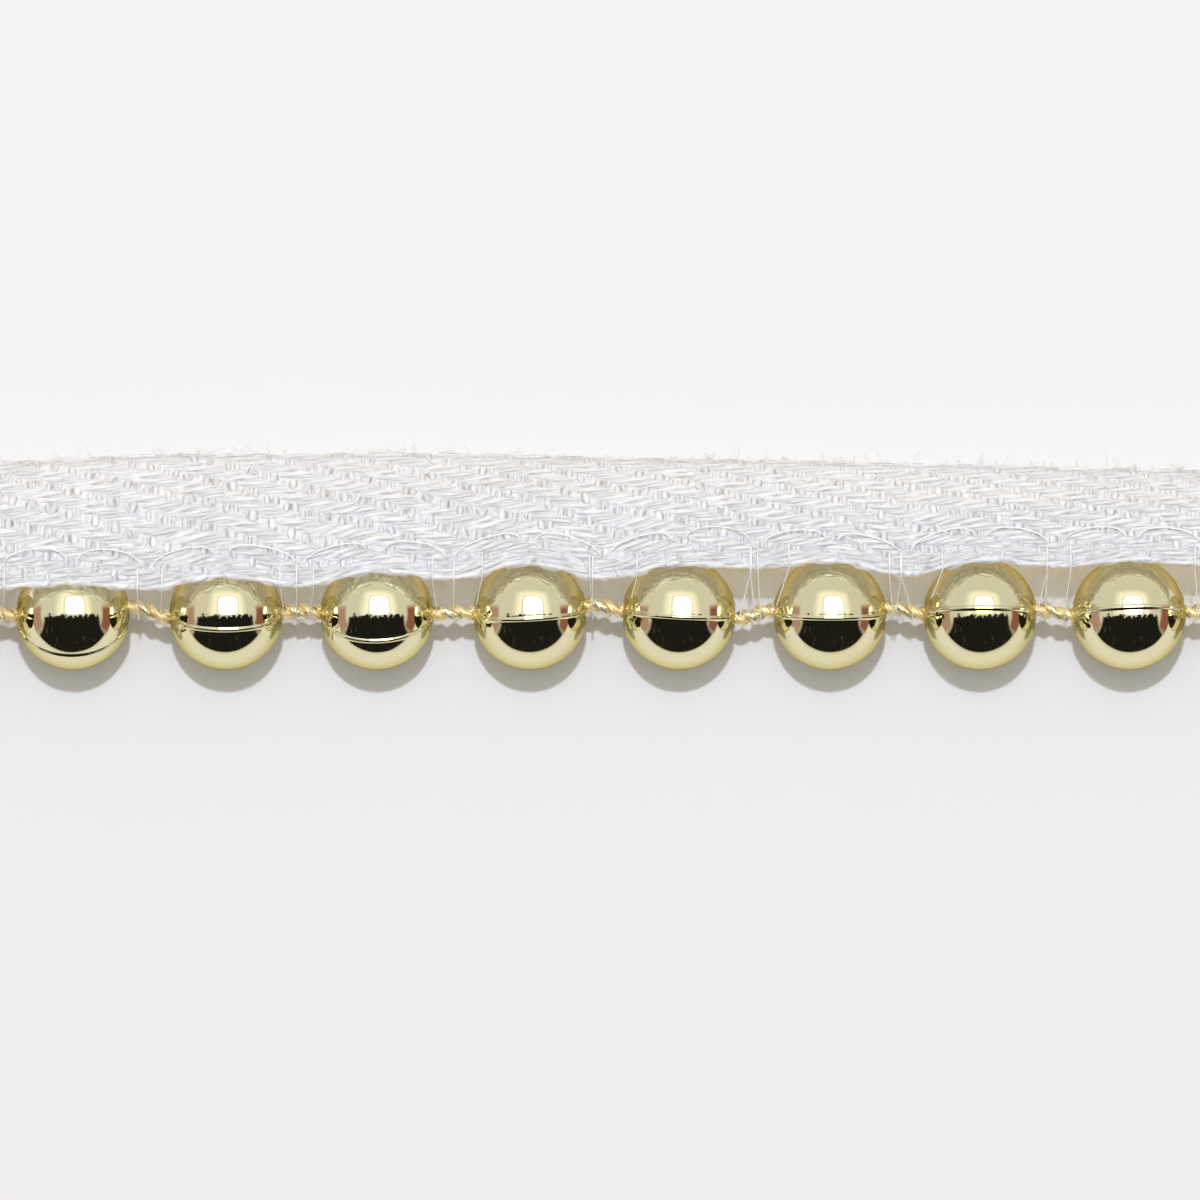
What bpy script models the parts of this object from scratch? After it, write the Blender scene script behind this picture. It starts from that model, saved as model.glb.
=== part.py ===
"""Beaded tape trim: metallised moulded balls on a twisted thread, along one edge of a white twill tape.

The trim runs along X and lies on a table at z = 0, with its length and its depth centred on the origin.
The lengths below are measured from the thread, which runs in front of the origin. The balls stand on
their small flat spots, the tape's near edge lies over their shoulders, and from there it slopes down
behind them, at +Y, to the table, where its far edge is flat.
"""

import math

import bmesh
import bpy
from mathutils import Matrix, Vector

MM = 0.001

# Ball string
BALL_DIAMETER = 5.0 * MM
BALL_PITCH = 6.68 * MM
REST_CUT = 0.05 * MM
BORE_DIAMETER = 1.2 * MM
BALL_SEGMENTS = 20
BALL_RINGS = 12

# Parting rib of the mould, a thin disc that stands out all round the ball
RIB_HEIGHT = 0.06 * MM
RIB_WIDTH = 0.14 * MM
RIB_SEGMENTS = 32

# Twisted thread of three plies
THREAD_DIAMETER = 0.6 * MM
VALLEY_DIAMETER = 0.44 * MM
PLIES = 3
POINTS_PER_PLY = 3
PLY_STEPS_PER_GAP = 4
STEPS_PER_GAP = 10
TWIST_REACH_INTO_BORE = 0.5 * MM

# Tape
TAPE_THICKNESS = 1.0 * MM
TAPE_CLEARANCE = 0.35 * MM
EDGE_ROUNDING = 0.22 * MM
STATIONS_PER_PITCH = 6
STEPS_ACROSS = 9
NEAR_SLOPE = math.radians(27)
FAR_SLOPE = math.radians(58)
NEAR_HANDLE = 2.0 * MM
FAR_HANDLE = 2.3 * MM
RUN_BELOW_TABLE = 0.6 * MM

# Each ball: its shift along the thread from an even pitch in millimetres, and in degrees the turn of its
# parting rib about the thread, from straight up towards the front, and the slope of that rib from above.
BALLS = (
    {"shift": 0.04, "rib_turn": 24, "rib_slope": 1},
    {"shift": -0.07, "rib_turn": 49, "rib_slope": -1},
    {"shift": 0.02, "rib_turn": 17, "rib_slope": 0},
    {"shift": 0.02, "rib_turn": 29, "rib_slope": 1},
    {"shift": 0.11, "rib_turn": 6, "rib_slope": 3},
    {"shift": 0.02, "rib_turn": 4, "rib_slope": -3},
    {"shift": 0.02, "rib_turn": 5, "rib_slope": 0},
    {"shift": -0.02, "rib_turn": -6, "rib_slope": 0},
    {"shift": -0.11, "rib_turn": -7, "rib_slope": 2},
    {"shift": 0.03, "rib_turn": 11, "rib_slope": -2},
)

# The tape at each ball and at each gap, in turn from the left end. near and far are its two edges, in
# millimetres behind the thread, and dip is how far the stitches pull the near edge down.
TAPE_ROWS = (
    {"near": 1.12, "far": 6.66, "dip": 0.35},
    {"near": 1.30, "far": 6.70, "dip": 0.00},
    {"near": 1.08, "far": 6.76, "dip": 0.40},
    {"near": 1.26, "far": 6.95, "dip": 0.00},
    {"near": 1.04, "far": 7.12, "dip": 0.45},
    {"near": 1.57, "far": 7.15, "dip": 0.00},
    {"near": 1.17, "far": 7.13, "dip": 0.50},
    {"near": 1.79, "far": 7.15, "dip": 0.00},
    {"near": 1.48, "far": 7.15, "dip": 0.45},
    {"near": 2.15, "far": 7.08, "dip": 0.00},
    {"near": 1.48, "far": 7.01, "dip": 0.50},
    {"near": 2.10, "far": 6.93, "dip": 0.00},
    {"near": 1.97, "far": 6.88, "dip": 0.40},
    {"near": 2.23, "far": 6.81, "dip": 0.00},
    {"near": 1.66, "far": 6.72, "dip": 0.50},
    {"near": 2.28, "far": 6.66, "dip": 0.00},
    {"near": 2.01, "far": 6.56, "dip": 0.40},
    {"near": 2.28, "far": 6.49, "dip": 0.00},
    {"near": 2.06, "far": 6.41, "dip": 0.40},
    {"near": 2.24, "far": 6.42, "dip": 0.00},
    {"near": 1.90, "far": 6.45, "dip": 0.35},
)

BALL_RADIUS = BALL_DIAMETER / 2
AXIS_HEIGHT = BALL_RADIUS - REST_CUT
LENGTH = len(BALLS) * BALL_PITCH
ROW_SPACING = BALL_PITCH / 2
CUTTER_MARGIN = 2 * MM
DEEPEST_FAR_EDGE = max(row["far"] for row in TAPE_ROWS) * MM
THREAD_Y = (BALL_RADIUS - DEEPEST_FAR_EDGE) / 2

# Colours follow the pieces: pale gold plating, gold and orange thread, bleached cotton.
FINISHES = {
    "gold_plating": {"colour": (0.86, 0.78, 0.50), "metallic": 1.0, "roughness": 0.16},
    "gold_thread": {"colour": (0.86, 0.66, 0.30), "metallic": 0.5, "roughness": 0.40},
    "white_cotton": {"colour": (0.92, 0.92, 0.90), "metallic": 0.0, "roughness": 0.90},
}


def clear_scene():
    for obj in list(bpy.data.objects):
        bpy.data.objects.remove(obj, do_unlink=True)


def new_collection(name, hidden=False):
    collection = bpy.data.collections.new(name)
    collection.hide_render = hidden
    bpy.context.scene.collection.children.link(collection)
    return collection


def new_finish(name):
    finish = FINISHES[name]
    material = bpy.data.materials.new(name)
    material.use_nodes = True
    shader = material.node_tree.nodes["Principled BSDF"]
    shader.inputs["Base Color"].default_value = (*finish["colour"], 1.0)
    shader.inputs["Metallic"].default_value = finish["metallic"]
    shader.inputs["Roughness"].default_value = finish["roughness"]
    return material


def place_on_trim(obj, collection):
    """Link an object whose own place is measured from the thread."""
    collection.objects.link(obj)
    obj.parent = TRIM


def add_mesh(name, fill, collection):
    """A new mesh object whose geometry the function fill makes in a bmesh."""
    mesh = bpy.data.meshes.new(name)
    bm = bmesh.new()
    fill(bm)
    bm.to_mesh(mesh)
    bm.free()
    obj = bpy.data.objects.new(name, mesh)
    place_on_trim(obj, collection)
    return obj


def add_cutter(name, fill):
    cutter = add_mesh(name, fill, CUTTERS)
    cutter.hide_render = True
    cutter.display_type = "WIRE"
    return cutter


def cut(obj, cutter, operation="DIFFERENCE"):
    modifier = obj.modifiers.new(cutter.name, "BOOLEAN")
    modifier.operation = operation
    modifier.object = cutter


def evaluated_mesh(obj):
    return bpy.data.meshes.new_from_object(obj.evaluated_get(bpy.context.evaluated_depsgraph_get()))


def ball_place(index):
    """The ball's centre on the thread's line."""
    even = (index - (len(BALLS) - 1) / 2) * BALL_PITCH
    return Vector((even + BALLS[index]["shift"] * MM, 0, AXIS_HEIGHT))


def ribbed_ball_mesh():
    """One ball round the origin, its poles on the thread's line, with the parting rib standing up."""
    poles_on_x = Matrix.Rotation(math.radians(90), 4, "Y")
    disc_on_xz = Matrix.Rotation(math.radians(90), 4, "X")

    def fill_ball(bm):
        bmesh.ops.create_uvsphere(
            bm, u_segments=BALL_SEGMENTS, v_segments=BALL_RINGS, radius=BALL_RADIUS, matrix=poles_on_x
        )

    def fill_disc(bm):
        radius = BALL_RADIUS + RIB_HEIGHT
        bmesh.ops.create_cone(
            bm,
            cap_ends=True,
            segments=RIB_SEGMENTS,
            radius1=radius,
            radius2=radius,
            depth=RIB_WIDTH,
            matrix=disc_on_xz,
        )

    blank = add_mesh("ball_blank", fill_ball, CUTTERS)
    disc = add_cutter("rib_disc", fill_disc)
    cut(blank, disc, "UNION")
    mesh = evaluated_mesh(blank)
    bpy.data.objects.remove(blank)
    bpy.data.objects.remove(disc)
    return mesh


def add_table_cutter():
    """The space below the table, under the whole trim."""
    depth = 4 * BALL_DIAMETER
    size = (LENGTH + 2 * CUTTER_MARGIN, depth, CUTTER_MARGIN, 1)
    place = Matrix.Translation((0, depth / 4, -CUTTER_MARGIN / 2)) @ Matrix.Diagonal(size)
    return add_cutter("table_cutter", lambda bm: bmesh.ops.create_cube(bm, size=1, matrix=place))


def add_beads(table):
    """Each ball turned to its own rib angle, bored for the thread and cut flat where it rests."""

    def fill_bore(bm):
        bmesh.ops.create_cone(
            bm,
            cap_ends=True,
            segments=PLIES * 4,
            radius1=BORE_DIAMETER / 2,
            radius2=BORE_DIAMETER / 2,
            depth=LENGTH + 2 * CUTTER_MARGIN,
            matrix=Matrix.Translation((0, 0, AXIS_HEIGHT)) @ Matrix.Rotation(math.radians(90), 4, "Y"),
        )

    bore = add_cutter("bore_cutter", fill_bore)
    ball_mesh = ribbed_ball_mesh()
    ball_mesh.materials.append(new_finish("gold_plating"))
    ball_mesh.shade_smooth()
    ball_mesh.set_sharp_from_angle(angle=math.radians(35))
    for index, ball in enumerate(BALLS):
        bead = bpy.data.objects.new(f"bead_{index + 1:02d}", ball_mesh)
        bead.location = ball_place(index)
        bead.rotation_euler = (math.radians(ball["rib_turn"]), 0, math.radians(ball["rib_slope"]))
        place_on_trim(bead, PARTS)
        cut(bead, bore)
        cut(bead, table)


def ply_profile():
    """The thread's cross-section: three round plies, with a valley between each pair."""
    count = PLIES * POINTS_PER_PLY
    data = bpy.data.curves.new("ply_profile", "CURVE")
    data.dimensions = "2D"
    spline = data.splines.new("POLY")
    spline.points.add(count - 1)
    spline.use_cyclic_u = True
    for index, point in enumerate(spline.points):
        in_valley = index % POINTS_PER_PLY == 0
        radius = (VALLEY_DIAMETER if in_valley else THREAD_DIAMETER) / 2
        turn = -2 * math.pi * index / count
        point.co = (radius * math.cos(turn), radius * math.sin(turn), 0, 1)
    profile = bpy.data.objects.new("ply_profile", data)
    profile.hide_render = True
    profile.display_type = "WIRE"
    place_on_trim(profile, CUTTERS)
    return profile


def twisted_route():
    """(x, twist) along the thread. It twists in each gap and runs straight through each bore."""
    inner = BALL_RADIUS - TWIST_REACH_INTO_BORE
    ends = [-LENGTH / 2]
    for index in range(len(BALLS)):
        ends += [ball_place(index).x - inner, ball_place(index).x + inner]
    ends.append(LENGTH / 2)
    gap_twist = PLY_STEPS_PER_GAP * 2 * math.pi / PLIES
    route, twist = [], 0.0
    for start, end in zip(ends[::2], ends[1::2]):
        for step in range(STEPS_PER_GAP + 1):
            share = step / STEPS_PER_GAP
            route.append((start + share * (end - start), twist + share * gap_twist))
        twist += gap_twist
    return route


def add_thread():
    route = twisted_route()
    data = bpy.data.curves.new("thread", "CURVE")
    data.dimensions = "3D"
    data.twist_mode = "Z_UP"
    data.bevel_mode = "OBJECT"
    data.bevel_object = ply_profile()
    data.use_fill_caps = True
    spline = data.splines.new("POLY")
    spline.points.add(len(route) - 1)
    for point, (x, twist) in zip(spline.points, route):
        point.co = (x, 0, AXIS_HEIGHT, 1)
        point.tilt = twist
    data.materials.append(new_finish("gold_thread"))
    place_on_trim(bpy.data.objects.new("thread", data), PARTS)


def tape_value(column, x):
    """A column of the tape's rows at x, eased from one row to the next, in metres."""
    place = (x + LENGTH / 2) / ROW_SPACING
    index = min(int(place), len(TAPE_ROWS) - 2)
    share = place - index
    eased = share * share * (3 - 2 * share)
    low, high = TAPE_ROWS[index][column], TAPE_ROWS[index + 1][column]
    return (low + eased * (high - low)) * MM


def tape_section(x):
    """The tape's middle line across at x: one curve from its near edge over the balls, steepening as it goes
    down to the table, and a short straight run on below it."""
    near, far = tape_value("near", x), tape_value("far", x)
    middle_radius = BALL_RADIUS + TAPE_CLEARANCE + TAPE_THICKNESS / 2
    top = AXIS_HEIGHT + math.sqrt(middle_radius**2 - near**2) - tape_value("dip", x)
    near_way = Vector((math.cos(NEAR_SLOPE), -math.sin(NEAR_SLOPE)))
    far_way = Vector((math.cos(FAR_SLOPE), -math.sin(FAR_SLOPE)))
    start = Vector((near, top))
    end = Vector((far - TAPE_THICKNESS / 2 / math.sin(FAR_SLOPE), 0))
    first, second = start + NEAR_HANDLE * near_way, end - FAR_HANDLE * far_way
    points = []
    for step in range(STEPS_ACROSS + 1):
        t = step / STEPS_ACROSS
        s = 1 - t
        points.append(s**3 * start + 3 * s * s * t * first + 3 * s * t * t * second + t**3 * end)
    points.append(end + RUN_BELOW_TABLE * far_way)
    return [Vector((x, point.x, point.y)) for point in points]


def add_tape(table):
    """The tape's middle surface, then its thickness, its rounded selvedges and its flat cut on the table."""
    stations = len(BALLS) * STATIONS_PER_PITCH

    def fill_surface(bm):
        rows = []
        for station in range(stations + 1):
            x = LENGTH * (station / stations - 0.5)
            rows.append([bm.verts.new(point) for point in tape_section(x)])
        for low, high in zip(rows, rows[1:]):
            for a, b, c, d in zip(low, high, high[1:], low[1:]):
                bm.faces.new((a, b, c, d)).smooth = True

    tape = add_mesh("tape", fill_surface, PARTS)
    thickness = tape.modifiers.new("thickness", "SOLIDIFY")
    thickness.thickness = TAPE_THICKNESS
    thickness.offset = 0
    thickness.use_even_offset = True
    rounding = tape.modifiers.new("rounded_selvedges", "BEVEL")
    rounding.width = EDGE_ROUNDING
    rounding.segments = 2
    rounding.limit_method = "ANGLE"
    rounding.angle_limit = math.radians(60)
    cut(tape, table)
    tape.data.materials.append(new_finish("white_cotton"))
    tape.data.set_sharp_from_angle(angle=math.radians(50))


clear_scene()
PARTS = new_collection("beaded_tape_trim")
CUTTERS = new_collection("cutters", hidden=True)
TRIM = bpy.data.objects.new("trim_frame", None)
TRIM.location.y = THREAD_Y
PARTS.objects.link(TRIM)
TABLE = add_table_cutter()
add_beads(TABLE)
add_thread()
add_tape(TABLE)
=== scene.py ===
"""Looks of the beaded tape trim: a white cotton twill tape with a string of gold-plated balls sewn to it.

X runs along the trim and Z is up, in metres, as in the frame. The yarns of the tape, the clear sewing
thread, the twisted gold thread and the moulded balls are each made as on the real trim, where the frame's
solids are. Lengths across are first measured from the gold thread, and place() puts them in the frame.
"""

import bisect
import math
import random
from collections import namedtuple
from functools import lru_cache

import bmesh
import bpy
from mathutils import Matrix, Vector


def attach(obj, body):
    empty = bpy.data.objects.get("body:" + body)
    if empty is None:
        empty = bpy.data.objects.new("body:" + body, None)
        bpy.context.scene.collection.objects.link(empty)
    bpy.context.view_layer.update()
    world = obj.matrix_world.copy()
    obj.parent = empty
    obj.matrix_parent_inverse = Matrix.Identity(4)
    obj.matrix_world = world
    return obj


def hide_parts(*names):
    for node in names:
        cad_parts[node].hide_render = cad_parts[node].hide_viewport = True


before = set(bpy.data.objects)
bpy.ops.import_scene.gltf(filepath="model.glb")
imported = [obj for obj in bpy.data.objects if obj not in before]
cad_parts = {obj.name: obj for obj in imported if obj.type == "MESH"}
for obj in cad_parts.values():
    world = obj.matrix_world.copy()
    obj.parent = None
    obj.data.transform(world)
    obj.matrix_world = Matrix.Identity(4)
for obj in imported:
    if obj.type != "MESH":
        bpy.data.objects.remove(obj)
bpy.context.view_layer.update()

MM = 0.001

# Ball string, as in the part's source
BALL_DIAMETER = 5.0 * MM
BALL_PITCH = 6.68 * MM
REST_CUT = 0.05 * MM
RIB_HEIGHT = 0.06 * MM
RIB_WIDTH = 0.14 * MM

# Slope of the tape, as in the part's source
NEAR_SLOPE = math.radians(27)
FAR_SLOPE = math.radians(58)
NEAR_HANDLE = 2.0 * MM
FAR_HANDLE = 2.3 * MM

# Each ball, as in the part's source: its shift along the thread in millimetres, and the turn and the slope
# of its parting rib in degrees. seed sets its own dents, specks and crinkled ends.
BALLS = (
    {"shift": 0.04, "rib_turn": 24, "rib_slope": 1, "seed": 3},
    {"shift": -0.07, "rib_turn": 49, "rib_slope": -1, "seed": 11},
    {"shift": 0.02, "rib_turn": 17, "rib_slope": 0, "seed": 6},
    {"shift": 0.02, "rib_turn": 29, "rib_slope": 1, "seed": 21},
    {"shift": 0.11, "rib_turn": 6, "rib_slope": 3, "seed": 14},
    {"shift": 0.02, "rib_turn": 4, "rib_slope": -3, "seed": 9},
    {"shift": 0.02, "rib_turn": 5, "rib_slope": 0, "seed": 31},
    {"shift": -0.02, "rib_turn": -6, "rib_slope": 0, "seed": 18},
    {"shift": -0.11, "rib_turn": -7, "rib_slope": 2, "seed": 27},
    {"shift": 0.03, "rib_turn": 11, "rib_slope": -2, "seed": 35},
)

# The tape at each ball and at each gap, as in the part's source: its two edges, in millimetres behind the
# thread, and how far the stitches pull the near edge down.
TAPE_ROWS = (
    {"near": 1.12, "far": 6.66, "dip": 0.35},
    {"near": 1.30, "far": 6.70, "dip": 0.00},
    {"near": 1.08, "far": 6.76, "dip": 0.40},
    {"near": 1.26, "far": 6.95, "dip": 0.00},
    {"near": 1.04, "far": 7.12, "dip": 0.45},
    {"near": 1.57, "far": 7.15, "dip": 0.00},
    {"near": 1.17, "far": 7.13, "dip": 0.50},
    {"near": 1.79, "far": 7.15, "dip": 0.00},
    {"near": 1.48, "far": 7.15, "dip": 0.45},
    {"near": 2.15, "far": 7.08, "dip": 0.00},
    {"near": 1.48, "far": 7.01, "dip": 0.50},
    {"near": 2.10, "far": 6.93, "dip": 0.00},
    {"near": 1.97, "far": 6.88, "dip": 0.40},
    {"near": 2.23, "far": 6.81, "dip": 0.00},
    {"near": 1.66, "far": 6.72, "dip": 0.50},
    {"near": 2.28, "far": 6.66, "dip": 0.00},
    {"near": 2.01, "far": 6.56, "dip": 0.40},
    {"near": 2.28, "far": 6.49, "dip": 0.00},
    {"near": 2.06, "far": 6.41, "dip": 0.40},
    {"near": 2.24, "far": 6.42, "dip": 0.00},
    {"near": 1.90, "far": 6.45, "dip": 0.35},
)

BALL_RADIUS = BALL_DIAMETER / 2
AXIS_HEIGHT = BALL_RADIUS - REST_CUT
LENGTH = len(BALLS) * BALL_PITCH
ROW_SPACING = BALL_PITCH / 2
DEEPEST_FAR_EDGE = max(row["far"] for row in TAPE_ROWS) * MM
THREAD_Y = (BALL_RADIUS - DEEPEST_FAR_EDGE) / 2

# Cloth of the tape, a 2/2 twill: the ends run along it and the picks across it
PICKS = 77
PICK_PITCH = LENGTH / PICKS
SELVEDGE_ENDS = 6
BODY_ENDS = 17
SELVEDGE_SPACING = 0.76
ENDS = SELVEDGE_ENDS + BODY_ENDS
STRANDS_PER_YARN = 3
STRAND_SIDES = 4
YARN_UNEVENNESS = 0.13 * MM
TURN_REACH = 0.35
WARP = {
    "Strand Width": 0.24 * MM,
    "Strand Thickness": 0.17 * MM,
    "Spread": 0.12 * MM,
    "Rise": 0.045 * MM,
    "Lay": 6.5 * MM,
    "Crimp": 0.065 * MM,
    "Slide": 0.045 * MM,
    "Seed": 4.0,
}
WEFT = {
    "Strand Width": 0.40 * MM,
    "Strand Thickness": 0.15 * MM,
    "Spread": 0.26 * MM,
    "Rise": 0.02 * MM,
    "Lay": 9.0 * MM,
    "Crimp": 0.055 * MM,
    "Slide": 0.0,
    "Seed": 9.0,
}
GROUND_THICKNESS = 0.16 * MM
EDGE_INSET = 0.20 * MM
CLOTH_ABOVE_BALL = 0.42 * MM
DIP_SHARE = 0.7
STEPS_PER_PICK = 4
STEPS_PER_END = 2
GROUND_STATIONS_PER_PICK = 2
GROUND_STEPS_ACROSS = 24

# Camera, straight above as in the picture
PICTURE_SIDE_PX = 1200
PX_PER_MM = 22.6
TRIM_MIDDLE_PX = 603
THREAD_LINE_PX = 613.5
CAMERA_HEIGHT = 450 * MM
SENSOR_WIDTH_MM = 36


# Short ways to write node trees


def feed(socket, value):
    """Give a socket a value, or link it to a term."""
    if isinstance(value, Term):
        value.tree.links.new(value.socket, socket)
    elif value is not None:
        socket.default_value = value


def named(sockets, name):
    """The socket in use that has a name, or that stands at a place in the list."""
    if isinstance(name, int):
        return sockets[name]
    return next(socket for socket in sockets if socket.name == name and socket.enabled)


def put(tree, kind, inputs=None, **settings):
    """Place a node, with its settings and with values or terms in its sockets."""
    node = tree.nodes.new(kind)
    for name, value in settings.items():
        setattr(node, name, value)
    for name, value in (inputs or {}).items():
        feed(named(node.inputs, name), value)
    return node


def take(node, name=None):
    """One output of a node as a term, by default the first in use."""
    if name is None:
        return Term(next(socket for socket in node.outputs if socket.enabled))
    return Term(named(node.outputs, name))


class Term:
    """A number or a vector in a node tree, so that a formula is written as on paper."""

    def __init__(self, socket):
        self.socket = socket
        self.tree = socket.node.id_data
        self.is_vector = socket.type == "VECTOR"

    def math(self, operation, *others):
        node = put(self.tree, "ShaderNodeMath", operation=operation)
        for socket, value in zip(node.inputs, (self, *others)):
            feed(socket, value)
        return take(node)

    def vector_math(self, operation, *others, scale=None):
        node = put(self.tree, "ShaderNodeVectorMath", operation=operation)
        for socket, value in zip(node.inputs, (self, *others)):
            feed(socket, value)
        if scale is not None:
            feed(named(node.inputs, "Scale"), scale)
        return take(node)

    def __add__(self, other):
        return self.vector_math("ADD", other) if self.is_vector else self.math("ADD", other)

    def __sub__(self, other):
        return self.vector_math("SUBTRACT", other) if self.is_vector else self.math("SUBTRACT", other)

    def __mul__(self, other):
        return self.vector_math("SCALE", scale=other) if self.is_vector else self.math("MULTIPLY", other)

    def __truediv__(self, other):
        return self.math("DIVIDE", other)

    def sin(self):
        return self.math("SINE")

    def cos(self):
        return self.math("COSINE")

    def size(self):
        return self.math("ABSOLUTE")

    def parts(self):
        node = put(self.tree, "ShaderNodeSeparateXYZ", {"Vector": self})
        return [Term(socket) for socket in node.outputs]

    def ramp(self, low, high, start=0.0, end=1.0):
        """Ease from start to end as the term goes from low to high, and hold beyond them."""
        inputs = {"Value": self, "From Min": low, "From Max": high, "To Min": start, "To Max": end}
        return take(put(self.tree, "ShaderNodeMapRange", inputs, interpolation_type="SMOOTHSTEP"))


def vector(tree, x, y, z):
    return take(put(tree, "ShaderNodeCombineXYZ", {"X": x, "Y": y, "Z": z}))


def noise(tree, at, scale, detail=2.0, seed=0.0, output="Fac"):
    """Smooth noise from 0 to 1 at a place, or three of them as a colour."""
    inputs = {"Vector": at, "W": seed, "Scale": scale, "Detail": detail}
    return take(put(tree, "ShaderNodeTexNoise", inputs, noise_dimensions="4D"), output)


def mix_colours(tree, share, first, second):
    node = put(tree, "ShaderNodeMix", data_type="RGBA")
    for name, value in (("Factor", share), ("A", first), ("B", second)):
        feed(named(node.inputs, name), value)
    return take(node)


SOCKET_KINDS = {
    "shape": "NodeSocketGeometry",
    "number": "NodeSocketFloat",
    "count": "NodeSocketInt",
    "vector": "NodeSocketVector",
    "colour": "NodeSocketColor",
    "finish": "NodeSocketMaterial",
}


def new_tree(name, kind, inputs, outputs):
    """A node group with named sockets. Gives the tree, its inputs as terms, and its output node."""
    tree = bpy.data.node_groups.new(name, kind)
    for label, sort in inputs:
        tree.interface.new_socket(label, in_out="INPUT", socket_type=SOCKET_KINDS[sort])
    for label, sort in outputs:
        tree.interface.new_socket(label, in_out="OUTPUT", socket_type=SOCKET_KINDS[sort])
    source = tree.nodes.new("NodeGroupInput")
    given = {label: Term(source.outputs[label]) for label, _ in inputs}
    return tree, given, tree.nodes.new("NodeGroupOutput")


def own(tree, name, sort="FLOAT"):
    """An attribute that the geometry carries."""
    return take(put(tree, "GeometryNodeInputNamedAttribute", {"Name": name}, data_type=sort))


def store(tree, shape, name, value):
    node = put(tree, "GeometryNodeStoreNamedAttribute", {"Geometry": shape, "Name": name, "Value": value})
    return take(node)


def move(tree, shape, offset=None, position=None):
    inputs = {"Geometry": shape, "Offset": offset, "Position": position}
    return take(put(tree, "GeometryNodeSetPosition", inputs))


def end_tree(tree, result, shape, finish):
    """Smooth the shape, realize it and give it its finish."""
    smooth = take(put(tree, "GeometryNodeSetShadeSmooth", {0: shape}))
    real = take(put(tree, "GeometryNodeRealizeInstances", {"Geometry": smooth}))
    done = take(put(tree, "GeometryNodeSetMaterial", {"Geometry": real, "Material": finish}))
    feed(result.inputs[0], done)


def sweep(tree, routes, sides, height, width):
    """Draw an oval of a height and a width along curves."""
    circle = take(put(tree, "GeometryNodeCurvePrimitiveCircle", {"Resolution": sides, "Radius": 0.5}))
    oval = put(tree, "GeometryNodeTransform", {"Geometry": circle, "Scale": vector(tree, height, width, 1)})
    inputs = {"Curve": routes, "Profile Curve": take(oval), "Fill Caps": True}
    return take(put(tree, "GeometryNodeCurveToMesh", inputs))


def make_piece(name, tree, start, values):
    """Run a tree on a start mesh, and keep what it makes as a plain mesh."""
    obj = bpy.data.objects.new(name, start)
    bpy.context.scene.collection.objects.link(obj)
    modifier = obj.modifiers.new("maker", "NODES")
    modifier.node_group = tree
    for item in tree.interface.items_tree:
        if item.in_out == "INPUT" and item.name in values:
            modifier[item.identifier] = values[item.name]
    made = bpy.data.meshes.new_from_object(obj.evaluated_get(bpy.context.evaluated_depsgraph_get()))
    obj.modifiers.remove(modifier)
    obj.data = made
    made.name = name
    turn_outwards(made)
    return obj


def turn_outwards(mesh):
    """Closed shapes whose volume counts as negative have their faces turned round."""
    bm = bmesh.new()
    bm.from_mesh(mesh)
    inside_out = bm.calc_volume(signed=True) < 0
    bm.free()
    if inside_out:
        mesh.flip_normals()


def place(x, across, height):
    """A point whose place across is measured from the gold thread."""
    return Vector((x, across + THREAD_Y, height))


# Stage


def add_camera():
    data = bpy.data.cameras.new("camera")
    data.sensor_width = SENSOR_WIDTH_MM
    view_width = PICTURE_SIDE_PX / PX_PER_MM * MM
    data.lens = SENSOR_WIDTH_MM * (CAMERA_HEIGHT - AXIS_HEIGHT) / view_width
    middle = PICTURE_SIDE_PX / 2
    x = (middle - TRIM_MIDDLE_PX) / PX_PER_MM * MM
    across = (THREAD_LINE_PX - middle) / PX_PER_MM * MM
    camera = bpy.data.objects.new("camera", data)
    camera.location = place(x, across, CAMERA_HEIGHT)
    bpy.context.scene.collection.objects.link(camera)
    bpy.context.scene.camera = camera


LIGHT_HEIGHT = 1.0
LAMP_MIDDLE = (0.0, 0.347)
SOFTBOX_MIDDLE = (0.126, 0.347)
SOFTBOX_HALF = 0.355
LAMP_COLOUR = (0.93, 0.97, 1.08)
THROUGH_TAPE_COLOUR = (1.0, 0.72, 0.30)


def add_light(name, size, power, colour, spot=(*LAMP_MIDDLE, LIGHT_HEIGHT)):
    """A lamp that looks straight down, by default from behind the trim. The balls mirror the room instead."""
    data = bpy.data.lights.new(name, "AREA")
    data.shape = "RECTANGLE"
    data.size, data.size_y = size
    data.energy = power
    data.color = colour
    lamp = bpy.data.objects.new(name, data)
    lamp.location = spot
    lamp.visible_glossy = lamp.visible_camera = False
    bpy.context.scene.collection.objects.link(lamp)


def add_lights():
    """A wide and a small lamp from behind, and the warm light that comes through the tape onto the table."""
    add_light("softbox", (0.7, 0.7), 2.2, LAMP_COLOUR)
    add_light("key", (0.04, 0.04), 6.9, LAMP_COLOUR)
    under_tape = place(0.0, 3.6 * MM, 2.5 * MM)
    add_light("tape_glow", (LENGTH, 1.2 * MM), 0.0004, THROUGH_TAPE_COLOUR, under_tape)


# How bright each thing in the mirrored room is
WALL_LEVEL = 0.74
GLOW_LEVEL = 0.45
FRAME_SHADE = 0.40
BOX_LEVEL = 5.0
GLEAM_LEVEL = 0.10
OPENING_LEVEL = 0.012
SIDE_SHADE = 0.62
WALL_COLOUR = (1.0, 0.985, 0.95, 1.0)
SIDE_COLOUR = (1.0, 0.42, 0.33, 1.0)
BACKDROP_LEVEL = 0.89


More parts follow.
